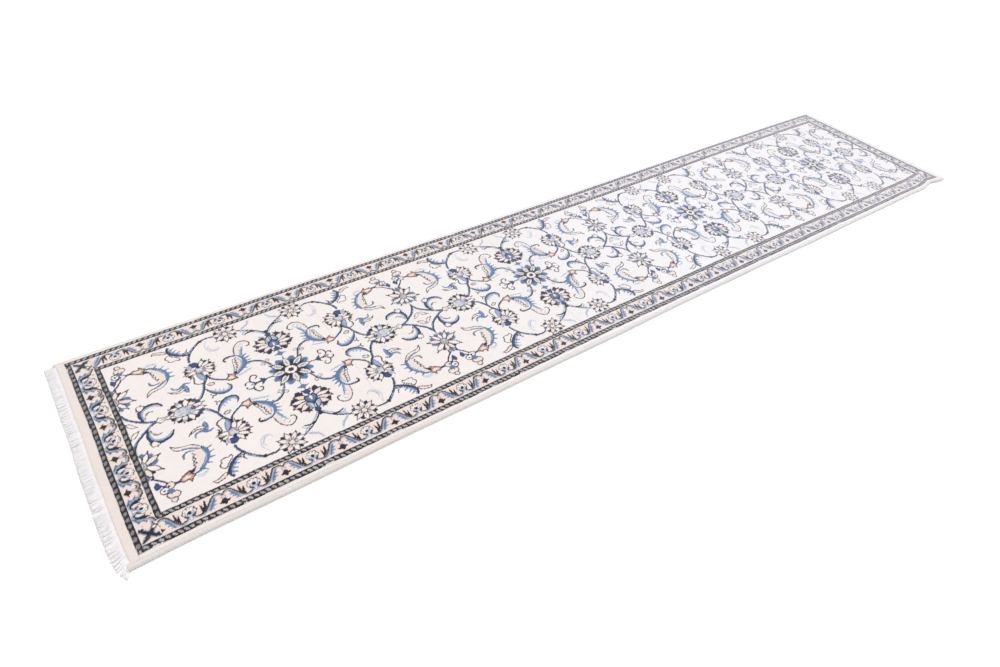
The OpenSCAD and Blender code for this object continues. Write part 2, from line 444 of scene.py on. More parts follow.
def half_repeat_palmette(c):
    """The flower on the half-repeat line: pointed petals with dark tips and blue between, round a grey centre."""
    for s in (1, -1):
        for ang, reach, wide, yarn in ((-104, 45, 17, "mid"), (-138, 46, 18, "mid"), (-176, 42, 20, "mid"),
                                       (122, 42, 16, "navy")):
            side = -90 - s * (-90 - ang)
            c.petal(0, 0, side, 14, reach, wide, yarn, "light" if yarn == "mid" else None, 1.4, blunt=True)
            c.petal(0, 0, side, 14, reach - 12, wide - 8, "royal", None)
    c.petal(0, 0, 90, 20, 54, 17, "mid", "light", 1.6, blunt=True)
    for s in (1, -1):
        for ang, reach, wide, yarn in ((-122, 50, 14, "ivory"), (-159, 54, 17, "peach"), (143, 54, 17, "ivory"),
                                       (106, 50, 14, "peach")):
            side = -90 - s * (-90 - ang)
            c.petal(0, 0, side, 12, reach, wide, yarn, "brown", 2.2)
            c.line([polar(reach - 5, side), polar(reach + 3, side)], 4, "brown")
    c.petal(0, 0, -90, 12, 44, 13, "ivory", "brown", 2.2)
    c.shape([(-12, -6), (-6, -14), (6, -14), (12, -6), (10, 8), (0, 16), (-10, 8)], "grey", width=1.6)
    c.fill([(-9, -6), (-2, -9), (-2, 8), (-7, 5)], "pale")
    for s in (1, -1):
        c.line([(s * 5, -8), (s * 4, 8)], 1.6, "sage")
    c.line([(0, -44), (0, -52)], 3, "navy")


def saz_leaf_two(c):
    """The leaf between the half-repeat flower and the border, smaller and more open."""
    vine(c, [(441, 196), (430, 206), (418, 220), (408, 234), (394, 240), (380, 240)], [4, 3.4, 4.2, 5],
         ((-2, 4), "mid"))
    c.line([(342, 252), (330, 256), (314, 250)], [2, 4, 2.4], "pale")
    c.line([(344, 246), (328, 250), (312, 244)], 1.8, "light")
    c.fill([(346, 232), (330, 228), (318, 212), (308, 190), (310, 168), (320, 158), (326, 174), (322, 192),
            (330, 208), (342, 220)], "peach")
    back = [(346, 238), (330, 236), (316, 222), (304, 204), (298, 184), (302, 164), (314, 150)]
    c.line(back, [5, 8, 11, 11, 9, 6], "mid")
    for (x, y), (dx, dy) in zip([(320, 232), (308, 218), (299, 204), (294, 189), (294, 174)],
                                [(-7, 9), (-11, 7), (-13, 3), (-12, -3), (-12, -7)]):
        c.line([(x + 5, y - 2), (x + dx, y + dy)], [7, 2], "mid")
    c.line([(318, 222), (308, 206), (303, 188), (306, 170)], [2.4, 3.4, 2.4], "light")
    c.line([(344, 222), (334, 216), (338, 208), (328, 204), (334, 196), (326, 190), (332, 182), (324, 176),
            (330, 168)], 2.4, "brown", bend=False)
    c.line([(338, 222), (336, 204), (334, 188), (330, 176)], 1.8, "sage")
    c.line([(350, 170), (346, 160), (334, 157), (322, 162)], [3, 5, 4, 2], "mid")
    c.line([(352, 174), (350, 162), (342, 156)], [5, 4, 2], "sage")
    # tail
    c.shape([(304, 160), (312, 146), (326, 136), (344, 132), (358, 128), (369, 118), (369, 118), (366, 132),
             (356, 141), (340, 145), (326, 151), (314, 160)], "ivory", width=2.3)
    c.line([(312, 156), (328, 146), (346, 140)], [5, 3], "light")
    # calyx
    c.shape([(382, 240), (382, 240), (372, 250), (362, 246), (356, 256), (356, 256), (348, 246), (340, 238),
             (340, 238), (350, 232), (352, 220), (352, 220), (364, 226), (374, 232)], "salmon", width=2.6)
    c.fill([(374, 240), (362, 244), (352, 239), (362, 232)], "peach")
    c.spot(346, 226, 6, "navy")
    c.spot(340, 222, 3.6, "royal")


def buds(c):
    """The triple bud near the field's corners."""
    c.line([(424, 214), (414, 232), (400, 240)], [4, 5, 5], "royal")
    c.shape([(404, 236), (394, 230), (384, 236), (384, 246), (392, 252), (402, 248)], "peach")
    c.spot(398, 242, 3.5, "wine")
    c.shape([(410, 240), (400, 246), (402, 258), (412, 262), (421, 256), (420, 244)], "ivory", "black", 2.6)
    c.spot(412, 251, 3.4, "black")
    c.fill([(424, 240), (416, 232), (416, 222), (422, 216), (430, 222), (430, 234)], "royal")
    c.fill([(400, 250), (390, 254), (386, 266), (394, 262), (398, 268), (402, 262), (408, 266), (406, 254)], "mid")
    c.shape([(396, 264), (386, 262), (378, 270), (380, 280), (390, 284), (402, 282), (410, 274), (408, 264)],
            "peach", width=2.3)
    c.fill([(400, 252), (390, 256), (388, 268), (394, 264), (398, 270), (402, 264)], "mid")
    c.shape([(392, 282), (388, 290), (396, 297), (404, 292), (402, 284)], "peach")


def moon_c(c):
    half_moon(c, [(268, 300), (274, 286), (270, 268), (258, 252), (244, 241), (232, 236), (222, 236)],
              [(262, 298), (264, 286), (260, 272), (250, 260), (240, 250), (232, 243), (224, 240)], "royal")
    for x, y in ((252, 286), (248, 274), (240, 262)):
        c.line([(x + 10, y - 2), (x, y + 4)], [5, 2], "mid")
    # the brown-edged tail and cloud behind it
    c.shape([(276, 276), (288, 278), (302, 286), (316, 288), (316, 288), (310, 296), (296, 294), (282, 288)],
            "peach", width=2.3)
    c.shape([(272, 262), (282, 258), (286, 248), (280, 240), (280, 232), (270, 228), (260, 230), (252, 226),
             (250, 236), (258, 244), (266, 252)], "ivory", width=2.4)
    c.shape([(238, 246), (228, 252), (222, 262), (222, 262), (226, 250), (222, 244)], "peach")


def ghosts(c):
    """Very pale scrolls that fill the open ground."""
    c.line([(164, 262), (172, 248), (176, 232), (170, 214), (156, 204), (144, 208), (141, 218)], [2, 2.4, 3.4, 5, 4,
                                                                                                  2.4], "pale")
    c.line([(168, 226), (160, 212), (150, 208)], 1.8, "grey")
    c.line([(166, 238), (171, 226)], 3, "pale")
    c.line([(286, 66), (276, 56), (262, 54)], [2, 3, 2], "pale")


def field_quarter():
    c = Cartoon(0, 450, 0, 301, "ivory")
    ghosts(c)
    # stems under the flowers
    vine(c, [(38, 44), (47, 68), (62, 89), (82, 99), (94, 99)], [3.2, 3.2, 3.6, 5, 4], ((3, -3), "light"))
    vine(c, [(138, 268), (150, 273), (163, 273), (181, 268), (199, 253), (216, 234), (228, 211), (232, 192)], 3.4,
         ((3, 3), "mid"))
    upper_vines(c)
    lower_vines(c)
    middle_vines(c)
    for x, y in ((45, 79), (61, 69)):
        c.spot(x, y, 5, "ivory", "brown")
        c.spot(x, y, 2, "salmon")
    c.spot(181, 270, 6.5, "wine")
    flowers = (
        (saz_leaf, 0, 0), (medallion, 0, 0), (fork, 0, 0), (palmette, 0, 0), (rosette, 106, 265), (lotus, 217, 145),
        (split_leaf, 0, 0), (moon_a, 0, 0), (axis_palmette, 297, 0), (moon_b, 0, 0), (saz_leaf_two, 0, -8),
        (buds, 12, -8), (moon_c, 0, -8), (half_repeat_palmette, 450, 137),
    )
    for motif, *place in flowers:
        c.shift = np.array(place, float)
        motif(c)
    return c.yarn


# ---------------------------------------------------------------- the main border and the guards
# s runs along the border from a flower's centre, t across it from the inner guard (0) to the outer guard (50), in mm.
def side_vine(c):
    """The vine of the side borders: a jagged blue leaf outside it, and a dark two-lobed leaf on the flower's side."""
    c.fill([(36, 45), (36, 45), (42, 33), (46, 23), (53, 13), (62, 11), (62, 11), (57, 18),
            (63, 22), (63, 22), (55, 26), (58, 32), (58, 32), (50, 34), (50, 41), (50, 41),
            (43, 41)], "light")
    c.line([(41, 43), (45, 34), (50, 24), (58, 13)], [2, 3.4, 4, 2.4], "mid")
    for x, y in ((60, 12), (61, 22), (56, 32), (49, 40)):
        c.line([(x - 6, y), (x, y)], [2.6, 1.2], "mid")
    c.line([(32, 38), (34.5, 24), (36, 6)], [8, 6.8, 5.4, 1.6], "black")
    c.line([(28, 40), (27.5, 28), (25, 14)], [8, 5.8, 4.4, 1.4], "black")
    c.line([(34, 27), (35.5, 14)], [3, 1.6], "navy")
    run = [(6, 37), (14, 42), (27, 43), (36, 35), (44, 22), (53, 9), (63, 5), (71, 8), (76, 15)]
    c.line(run, [3.4, 6.5, 7.6, 7.6, 7, 7, 7, 6, 5], "light")
    c.line([(x, y - 0.4) for x, y in run], [2.4, 4, 4.6, 4.6, 4.4, 4.4, 4, 3], "grey")
    c.line([(x, y - 2.6) for x, y in run], [2, 2.8, 3.4, 3.6, 3.6, 3.4, 3.0, 2.6], "brown")


def end_vine(c):
    """The vine of the end borders, which runs close round the flower with a heavy dark flank."""
    c.fill([(17, 48), (28, 48), (35, 43), (45, 39), (45, 39), (39, 33), (41, 28), (49, 22), (49, 22), (43, 18),
            (47, 11), (38, 12), (33, 22), (30, 33), (24, 40)], "mid")
    c.line([(27, 44), (33, 36), (37, 26), (43, 13)], [2.6, 3.4, 4.4, 3.4], "light")
    c.line([(22, 46), (32, 42), (42, 39)], [2, 3, 1.2], "royal")
    c.line([(32, 42), (44, 39)], [4, 1.2], "mid")
    c.line([(38, 27), (48, 22)], [4, 1.2], "mid")
    c.line([(4, 37), (9, 43), (16, 46.5), (24, 44)], [3.4, 5, 5, 3], "light")
    run = [(40, 17), (46, 8), (54, 5.5), (61, 8), (65, 14)]
    c.line(run, [4, 6, 6, 5.4, 4], "light")
    c.line(run, [2.6, 4, 4, 3.4, 2.4], "grey")
    c.line([(36, 13), (44, 6), (54, 2.6), (62, 4.7), (66, 10)], [2.4, 3.4, 3.4, 3.2, 2.8], "brown")
    c.line([(50, 13), (56, 10), (61, 14), (65, 19)], [1.8, 2.6, 2.6, 2], "brown")
    c.line([(9, 37), (12, 40.5), (18, 41), (24, 35.5), (27.5, 25), (32, 12)], [3, 4.2, 5, 7, 9.4, 7, 3], "black")
    c.line([(26, 24), (21.5, 18)], [4.4, 1.6], "black")
    c.spot(28, 6, 1.6, "brown")


def border_unit(half, vine):
    """Half a unit: a flower at s = 0, a winding vine with a jagged blue leaf, and a dark palmette at s = half."""
    c = Cartoon(0, math.ceil(half), 0, 50, "peach")
    for t in (1, 49):
        c.line([(-2, t), (half + 2, t)], 1.6, "cream")
    vine(c)
    # flower with a rolled brown edge
    c.spot(0, 21, 16, "brown", squash=0.98)
    for ang in (-80, -42, 0, 42, 80):
        across, along = math.sin(math.radians(ang)), math.cos(math.radians(ang))
        c.spot(12.4 * across, 21 - 12.2 * along, 6.2, "brown")
        c.spot(11.6 * across, 21 - 11.4 * along, 4.7, "ivory")
    c.spot(0, 22, 9.9, "ivory")
    c.line([(4, 29), (9, 24), (10, 16)], [3, 3.4, 2], "light")
    c.spot(0, 21, 5.4, "navy")
    c.spot(0, 21, 3, "black")
    c.line([(0, 32), (0, 40)], 8, "light")
    c.line([(0, 34), (0, 40)], 3, "ivory")
    c.line([(3, 37), (10, 41)], 3.4, "light")
    # pink bud and dark palmette
    c.spot(half, 19.5, 4.2, "pale", "salmon")
    c.fill([(half, 25), (half - 6, 28), (half - 8, 32), (half - 15, 33), (half - 15, 33), (half - 9, 38),
            (half - 6, 39), (half, 46), (half, 46), (half + 6, 39), (half + 6, 28)], "black")
    c.line([(half - 9, 34.5), (half, 34.5)], [2, 7], "black")
    c.spot(half, 31, 3, "navy")
    return c.yarn


def corner_square():
    """The corner of the border: dark crossed leaves with a light blue edge. From the inner corner out, in mm."""
    c = Cartoon(0, 47, 0, 50, "peach")
    arms = ([(24, 27), (13, 38), (5, 42)], [(24, 27), (35, 16), (42, 7)], [(24, 27), (33, 37), (42, 44)],
            [(24, 27), (16, 18), (10, 14)])
    for widths, yarn in (([15, 14, 8], "light"), ([12, 11, 6], "grey"), ([9, 8, 4], "navy")):
        for arm in arms:
            c.line(arm, widths, yarn)
    c.line([(8, 34), (15, 42)], [6, 3], "navy")
    c.line([(34, 8), (44, 15)], [5, 3], "navy")
    c.line([(22, 29), (12, 38)], 4, "black")
    c.line([(27, 25), (36, 16)], 4, "black")
    c.line([(26, 30), (33, 37)], 3.4, "brown")
    c.line([(0, 14), (8, 9), (14, 1)], 6, "light")
    c.line([(0, 13), (7, 7), (12, 0)], 3, "brown")
    c.shape([(8, 8), (14, 8), (17, 13), (12, 17), (7, 14)], "ivory", width=1.8)
    c.line([(0, 49), (46, 49), (46, 0)], 1.6, "cream", bend=False)
    return c.yarn


FIELD = field_quarter()
UNIT_SIDE = border_unit(SIDE_UNIT / 2, side_vine)
UNIT_END = border_unit(END_UNIT / 2, end_vine)
CORNER = corner_square()


def look_up(cartoon, u, v):
    n, m = cartoon.shape
    return cartoon[np.clip(u.astype(int), 0, n - 1), np.clip(v.astype(int), 0, m - 1)]


def guard_yarn(run, t, width, period, slant, gap, rim, yarns):
    """Grey blocks between slanted dark bars, inside two dark lines."""
    v = run + slant * (t - width / 2)
    u, block = np.mod(v, period), np.floor(v / period)
    rim = rim + 0.5 * np.sin(block * 2.3 + (t > width / 2))  # the lines are not knotted quite evenly
    edge = np.minimum(np.abs(u - gap), np.abs(u - period))
    dark = (t < rim) | (t > width - rim) | ((edge < 2.6) & ((t < rim + 1.8) | (t > width - rim - 1.8)))
    core = (np.abs(u - gap / 2) < gap * 0.22) & (np.abs(t - width / 2) < 2.6)
    other = np.mod(block * 3, 5) < 2
    bar = np.where(core, INDEX["wine"], INDEX["black"])
    yarn = np.where(u < gap, bar, np.where(other, INDEX[yarns[1]], INDEX[yarns[0]]))
    ragged = 0.7 + 0.7 * np.sin(run / 27.0) + 0.5 * np.sin(run / 9.0)  # the plain ground bites into the outer edge
    return np.where(t > width - ragged, INDEX["cream"], np.where(dark, INDEX["black"], yarn))


def half_run(distance, pitch):
    """Distance to the nearest flower when flowers are pitch apart."""
    return np.abs(np.mod(distance + pitch / 2, pitch) - pitch / 2)


# Hand knotting drifts: the repeats are not quite equal, and the field's centre line lies a little to the left, in mm.
MEDALLIONS = (-1315, -369, 510, 1405)
CENTRE_LINE = 9
# where every few dark palmettes of the side borders stand, counted from the middle one
COUNTS = np.array([-12, -11, -8, -4, 0, 4, 8, 11, 12])
LEFT_SIDE = (-1825, -1665, -1177, -553, 55, 657, 1250, 1688, 1830)
RIGHT_SIDE = (-1820, -1652, -1152, -504, 124, 719, 1298, 1712, 1850)


def in_band(ax, ay, limits):
    """Whether points lie in the rectangular ring between a band's limits."""
    y1, y0, x1, x0 = limits
    return ((ax < x1) & (ay < y1)) & ~((ax < x0) & (ay < y0))


def yarn_at(x, y):
    """Yarn index at points of the pile, x and y in mm in the rug's frame."""
    ax, ay = np.abs(x), np.abs(y)
    medallion_lines = REPEAT * np.array([-1.5, -0.5, 0.5, 1.5])
    # the last repeat is cut short
    a = np.interp(x, [-FIELD_X, *MEDALLIONS, FIELD_X], [-FIELD_X, *medallion_lines, 1780])
    a = np.abs(np.mod(a + 2 * REPEAT, REPEAT) - REPEAT / 2)
    b = np.abs(np.interp(y, [-FIELD_Y, CENTRE_LINE, FIELD_Y], [-FIELD_Y, 0, FIELD_Y]))
    out = np.where((ax < FIELD_X) & (ay < FIELD_Y), look_up(FIELD, a, b), INDEX["cream"])
    on_end = (ax - FIELD_X) / 77 > (ay - FIELD_Y) / 82  # the guards meet on the diagonal of the corner
    for name in ("inner_guard", "outer_guard"):
        _, y0, _, x0 = BANDS[name]
        end = guard_yarn(y + 400, ax - x0, 15, 21.2, 0.45, 8.2, 3.1, ("moss", "smoke"))
        side = guard_yarn(x + 1900, ay - y0, 16, 16.4, -0.8, 6.8, 3.3, ("ash", "fog"))
        out = np.where(in_band(ax, ay, BANDS[name]), np.where(on_end, end, side), out)
    y1, y0, x1, x0 = BANDS["main_border"]
    count = np.where(y > 0, np.interp(x, LEFT_SIDE, COUNTS), np.interp(x, RIGHT_SIDE, COUNTS))
    side = look_up(UNIT_SIDE, half_run((count - 0.5) * SIDE_UNIT, SIDE_UNIT), ay - y0)
    end = look_up(UNIT_END, half_run(y, END_UNIT), (ax - x0) * (y1 - y0) / (x1 - x0))
    corner = look_up(CORNER, ax - x0, ay - y0)
    picked = np.where((ax >= x0) & (ay >= y0), corner, np.where(ay >= y0, side, end))
    return np.where(in_band(ax, ay, BANDS["main_border"]), picked, out)


# ---------------------------------------------------------------- from cartoon to knots
def noise(x, y, scale, seed, waves=7):
    """A smooth field from about -1 to 1 that changes over scale mm."""
    rng = np.random.default_rng(seed)
    out = np.zeros(np.shape(x))
    for k in range(waves):
        a, f, p = rng.uniform(0, 2 * math.pi), rng.uniform(0.6, 1.5) / scale, rng.uniform(0, 2 * math.pi)
        out += np.sin(2 * math.pi * f * (x * math.cos(a) + y * math.sin(a)) + p)
    return out / math.sqrt(waves)


def speck(x, y, seed=0.0):
    """A number from 0 to 1 for each knot, the same wherever two pieces meet."""
    v = np.sin(np.round(x, 2) * 12.9898 + np.round(y, 2) * 78.233 + seed) * 43758.5453
    return v - np.floor(v)


def to_linear(rgb):
    c = np.asarray(rgb, float) / 255
    return np.where(c < 0.04045, c / 12.92, ((c + 0.055) / 1.055) ** 2.4)


WOOL = 0.8  # wool returns about four fifths of the light that white paper does
PALETTE = WOOL * to_linear(list(YARNS.values()))
COTTON = WOOL * to_linear((252, 249, 246))
EDGE_PAINTED_SHEEN = 0.6  # how much painted sheen and haze pale the plain edges towards the far end
# the pale, cool colour that the painted sheen and haze pale the knots towards
PAINTED_SHEEN_COLOUR = WOOL * to_linear((255, 245, 248))


def edge_painted_sheen(x):
    """Painted sheen on the plain edges at x: how far they are painted paler, more and more up to the near end of the
    far middle.
    """
    return EDGE_PAINTED_SHEEN * np.clip((x + 1500) / 1200, 0, 1)


def dyed(x, y, inner=None):
    """Colour of the knots at x, y in mm. Inner keeps the wander of the rows inside one band's own limits."""
    u = x + 1.1 * noise(x, y, 130, 3) + 0.8 * (speck(x * 0, y, 5.0) - 0.5)
    v = y + 1.0 * noise(x, y, 110, 4) + 0.8 * (speck(x, y * 0, 9.0) - 0.5)
    if inner:
        x0, x1, y0, y1 = inner
        u, v = np.clip(u, x0 + 0.2, x1 - 0.2), np.clip(v, y0 + 0.2, y1 - 0.2)
    c = PALETTE[yarn_at(u, v)]
    # painted sheen and haze: the far half is painted a little paler and cooler, most of all along the plain edges
    far = np.clip((x + 900) / 2400, 0, 1)
    painted_sheen = np.where((np.abs(y) > 317) & (np.abs(y) < 367), 0.16, 0.09) * far
    painted_sheen = np.where(np.abs(y) > BANDS["edge_band"][1], edge_painted_sheen(x), painted_sheen)
    c = c + painted_sheen[..., None] * (PAINTED_SHEEN_COLOUR - c)
    c = c * (1 + np.clip((x + 900) / 1100, 0, 1)[..., None] * (0, 0.01, 0.05))
    # the last knots of the near end are a little darker and warmer
    c = c * (1 - np.clip((-x - 1862) / 12, 0, 1)[..., None] * (0.035, 0.06, 0.08))
    shade = 1 + 0.06 * (speck(x, y) - 0.5) + 0.008 * noise(x, y * 0.3, 260, 5) + 0.008 * noise(x, y, 45, 6)
    return np.clip(c * shade[..., None], 0, 1)


def pile_top(x, y):
    """Height of the pile in mm: sheared level, with soft swells, single knots standing proud, and rounded rims."""
    rim = np.minimum(PILE_Y - np.abs(y), PILE_X - np.abs(x))
    drop = 1.5 * np.clip(1 - rim / 6.0, 0, 1) ** 2
    return 11.75 + 0.16 * noise(x, y, 60, 11) + 0.12 * noise(x, y, 17, 12) + 0.22 * (speck(x, y, 2.0) - 0.5) - drop


def back_face(x, y):
    """The underside: rows of knot backs."""
    return 0.12 + 0.12 * np.cos(math.pi * np.round(x / ROW)) + 0.06 * speck(x, y, 7.0)


def back_colour(x, y):
    """The pattern shows on the back too, paler where the cotton warps and wefts show between the knots."""
    inside = (np.abs(y) < PILE_Y - 1) & (np.abs(x) < PILE_X - 1)
    c = 0.8 * PALETTE[yarn_at(x, y)] + 0.2 * COTTON
    c = np.where(inside[..., None], c, COTTON)
    return c * (0.96 + 0.08 * speck(x, y, 8.0))[..., None]


def sideways(x, y):
    """How far a knot has drifted sideways, in mm: the borders spread towards the far end, and the long edges wave."""
    s = np.clip((x - 100) / 1450, 0, 1)
    spread = s * s * (3 - 2 * s)  # towards the far end
    left, right = 2.6 * np.cos((x + 1100) / 318), 1.6 * np.cos((x + 1580) / 202)
    wave = 1.2 * np.sin(x / 205 + 0.7) + 0.7 * np.sin(x / 88 + 2.0)
    ripple = 12 * np.exp(-(((x - 1802) / 45) ** 2)) - 3 * np.exp(-(((x - 1700) / 50) ** 2))  # at the far right corner
    lines = {
        -400: ripple - 5.5 - 5 * spread + wave - 3 * np.exp(-(((x + 1900) / 70) ** 2)),
        -375: ripple + 1.5 - 10 * spread + right,
        -309: 0.4 * ripple + 6 - 19 * spread + 0.6 * right,
        0: 0 * x,
        309: 17 * spread + 0.6 * left,
        375: -2 + 13 * spread + left,
        400: -2 + 6 * spread + wave,
    }
    weights = np.eye(len(lines))
    return sum(np.interp(y, list(lines), weights[k]) * value for k, value in enumerate(lines.values()))


def lay(v):
    """How the rug lies: its bands wander, its ends bow a little, and it isn't dead flat. In mm, out in metres."""
    x, y, z = v.T
    end = x / PILE_X
    bow = np.abs(end) ** 9 * (1.2 * np.sin(y / 95.0 + 0.5) + 0.6 * np.sin(y / 37.0))
    # the inner guards of both ends sit a little far
    inner = 6 * np.exp(-(((np.abs(x) - 1800) / 45) ** 2)) * (1 + 0.3 * end)
    # the plain end strip is a little wider at the near end, most of all in its middle
    swell = np.clip(-1876 - x, 0, 15) / 15 * (6 + 3.5 * np.cos(y / 400 * math.pi / 2).clip(0) ** 0.7)
    rise = 0.35 * (1 + noise(x, y, 520, 21)).clip(0, 2) + 2.6 * np.exp(-(((x - 1900) / 90) ** 2)
                                                                       - ((y + 400) / 110) ** 2)
    return np.stack([x + bow + inner - swell, y + sideways(x, y), z + rise], 1) / 1000


class Stock:
    """The parts of one mesh, gathered before it is laid on the floor."""

    def __init__(self):
        self.verts, self.faces, self.colours, self.flat, self.count = [], [], [], [], 0

    def add(self, verts, colours, smooth, flat=()):
        """Points with their colours, and blocks of faces between them, shaded smooth or flat."""
        self.verts.append(np.asarray(verts, float).reshape(-1, 3))
        self.colours.append(np.asarray(colours, float).reshape(-1, 3))
        for blocks, is_flat in ((smooth, False), (flat, True)):
            for block in blocks:
                rows = (np.asarray(block) + self.count).tolist()
                self.faces += rows
                self.flat += [is_flat] * len(rows)
        self.count += len(self.verts[-1])

    def piece(self, name, material):
        v, c = lay(np.vstack(self.verts)), np.vstack(self.colours)
        mesh = bpy.data.meshes.new(name)
        mesh.from_pydata(v.tolist(), [], self.faces)
        mesh.polygons.foreach_set("use_smooth", ~np.array(self.flat, bool))
        attribute = mesh.attributes.new("Yarn", "FLOAT_COLOR", "POINT")
        attribute.data.foreach_set("color", np.hstack([c, np.ones((len(c), 1))]).astype(np.float32).ravel())
        mesh.color_attributes.active_color_name = "Yarn"
        mesh.materials.append(material)
        mesh.validate()
        mesh.update()
        obj = bpy.data.objects.new(name, mesh)
        SCENE.collection.objects.link(obj)
        return obj


def strip(a, b):
    """Quads between two runs of vertex numbers."""
    return np.stack([a[:-1], a[1:], b[1:], b[:-1]], 1)


def slab(stock, x0, x1, y0, y1, face, back, pitch, colour, up=True):
    """A closed slab in mm. Its fine face is a grid of knots at face(x, y), and its other face is level at back."""
    xs, ys = (np.linspace(a, b, max(2, round((b - a) / pitch) + 1)) for a, b in ((x0, x1), (y0, y1)))
    gx, gy = np.meshgrid(xs, ys, indexing="ij")
    verts = np.stack([gx, gy, face(gx, gy)], -1).reshape(-1, 3)
    colours = colour(gx, gy).reshape(-1, 3)
    grid = np.arange(gx.size).reshape(gx.shape)
    quads = np.stack([grid[:-1, :-1], grid[1:, :-1], grid[1:, 1:], grid[:-1, 1:]], -1).reshape(-1, 4)
    # the ring of the other face: along y = y0, then x = x1, y = y1 and x = x0
    walk = np.concatenate([grid[:, 0], grid[-1, 1:], grid[-2::-1, -1], grid[0, -2:0:-1]])
    ring = verts[walk]
    ring[:, 2] = back
    low = np.zeros(gx.size, int)  # the ring's vertex under each vertex of the fine face's rim
    low[walk] = gx.size + np.arange(len(walk))
    a, b = low[grid[:, 0]], low[grid[:, -1]]
    closed = np.append(walk, walk[0])
    first, last = np.r_[low[grid[0]], b[1], a[1]][None], np.r_[a[-2], b[-2], low[grid[-1, ::-1]]][None]
    blocks = [quads, strip(low[closed], closed), np.stack([a[1:-2], b[1:-2], b[2:-1], a[2:-1]], 1), first, last]
    if not up:
        blocks = [block[:, ::-1] for block in blocks]
    stock.add(np.vstack([verts, ring]), np.vstack([colours, colours[walk]]), blocks[:1], blocks[1:])


def rings(count, sides):
    """Vertex numbers of a row of rings, and the quads between them."""
    grid = np.arange(count * sides).reshape(count, sides)
    after = np.roll(grid, -1, 1)
    return grid, np.stack([grid[:-1], after[:-1], after[1:], grid[1:]], -1).reshape(-1, 4)


def tube(stock, points, radii, sides, colour, squash):
    """A closed tube of round rings along points in mm. Squash flattens it."""
    p = np.asarray(points, float)
    t = np.gradient(p, axis=0)
    t /= np.linalg.norm(t, axis=1)[:, None]
    up = np.where(np.abs(t[:, 2:3]) > 0.9, np.array([[0, 1.0, 0]]), np.array([[0, 0, 1.0]]))
    n = np.cross(up, t)
    n /= np.linalg.norm(n, axis=1)[:, None]
    b = np.cross(t, n)
    a = np.linspace(0, 2 * math.pi, sides, endpoint=False)[None, :, None]
    r = np.asarray(radii, float)[:, None, None]
    verts = p[:, None] + r * (np.cos(a) * n[:, None] + squash * np.sin(a) * b[:, None])
    grid, quads = rings(len(p), sides)
    stock.add(verts, np.broadcast_to(colour, (grid.size, 3)), [quads, grid[:1, ::-1], grid[-1:]])


# ---------------------------------------------------------------- materials
def material(name, rough=0.92, sheen=1.0, grain=420.0, bump=0.5, ridges=None, vary=0.10):
    """Yarn: the knots' own colour with fibre flecks, a tufted or corded bump, and roughness along the fibres."""
    mat = bpy.data.materials.new(name)
    mat.use_nodes = True
    nodes, links = mat.node_tree.nodes, mat.node_tree.links
    nodes.clear()

    def node(kind, inputs=(), **settings):
        """A node with its settings, and inputs that are values or other nodes' outputs."""
        made = nodes.new("ShaderNode" + kind)
        for key, value in settings.items():
            setattr(made, key, value)
        for key, value in dict(inputs).items():
            if isinstance(value, bpy.types.NodeSocket):
                links.new(value, made.inputs[key])
            else:
                made.inputs[key].default_value = value
        return made

    def ranged(source, low, high):
        limits = {"From Min": 0.25, "From Max": 0.75, "To Min": low, "To Max": high}
        return node("MapRange", {"Value": source, **limits}).outputs[0]

    place = node("TexCoord").outputs["Object"]
    fibre = node("TexNoise", {"Vector": place, "Scale": grain, "Detail": 4.0, "Roughness": 0.65}).outputs["Fac"]
    cloud = node("TexNoise", {"Vector": place, "Scale": 9.0, "Detail": 3.0, "Roughness": 0.6}).outputs["Fac"]
    flecks = {0: ranged(fibre, 1 - vary, 1 + vary * 0.35), 1: ranged(cloud, 0.988, 1.008)}
    yarn = node("Attribute", attribute_name="Yarn").outputs["Color"]
    tone = node("Math", flecks, operation="MULTIPLY").outputs[0]
    # height: tufts or cords, and loose fibres over them
    if ridges:
        angle, period = ridges
        turn = node("VectorRotate", {"Vector": place, "Rotation": (0, 0, angle)},
                    rotation_type="EULER_XYZ").outputs[0]
        waves = {"Vector": turn, "Scale": 2 * math.pi / 20 / period, "Distortion": 1.2, "Detail": 2.0,
                 "Detail Scale": 3.0}
        tufts = node("TexWave", waves, wave_profile="SIN").outputs["Fac"]
    else:
        cells = node("TexVoronoi", {"Vector": place, "Scale": 480.0}, feature="SMOOTH_F1")
        tufts = ranged(cells.outputs["Distance"], 1.0, 0.0)
    height = node("Math", {0: tufts, 1: fibre}, operation="ADD").outputs[0]
    cloth = {
        "Base Color": node("VectorMath", {0: yarn, "Scale": tone}, operation="SCALE").outputs[0],
        "Roughness": ranged(fibre, rough - 0.06, min(1.0, rough + 0.06)),
        "Sheen Weight": sheen,
        "Sheen Roughness": 0.4,
        "Sheen Tint": (1.0, 0.98, 1.0, 1),
        "Specular IOR Level": 0.15,
        "Normal": node("Bump", {"Strength": bump, "Distance": 0.0012, "Height": height}).outputs[0],
    }
    node("OutputMaterial", {0: node("BsdfPrincipled", cloth).outputs[0]})
    return mat


# one for each material slot of the record: name, roughness, sheen, grain, bump, ridges (angle, period in m), flecks
MATERIALS = {
    "wool_field": material("field_wool", bump=0.45),
    "wool_border": material("border_wool"),
    "wool_guard": material("guard_wool", bump=0.55, vary=0.22),
    "wool_plain_edge": material("plain_edge_wool", grain=380.0),
    "wool_side_cord": material("side_cord_wool", 0.92, 0.4, 520.0, 0.8, (0.5, 0.0042)),
    "cotton_foundation": material("back_cotton", 0.9, 0.05, 700.0, 0.7, (0, 0.0042)),
    "cotton_end_strip": material("end_strip_cotton", 0.88, 0.3, 700.0, 0.8, (1.57, 0.003), 0.05),
    "cotton_fringe": material("fringe_cotton", 0.86, 0.8, 900.0, 0.12, (0.9, 0.0016), 0.03),
}
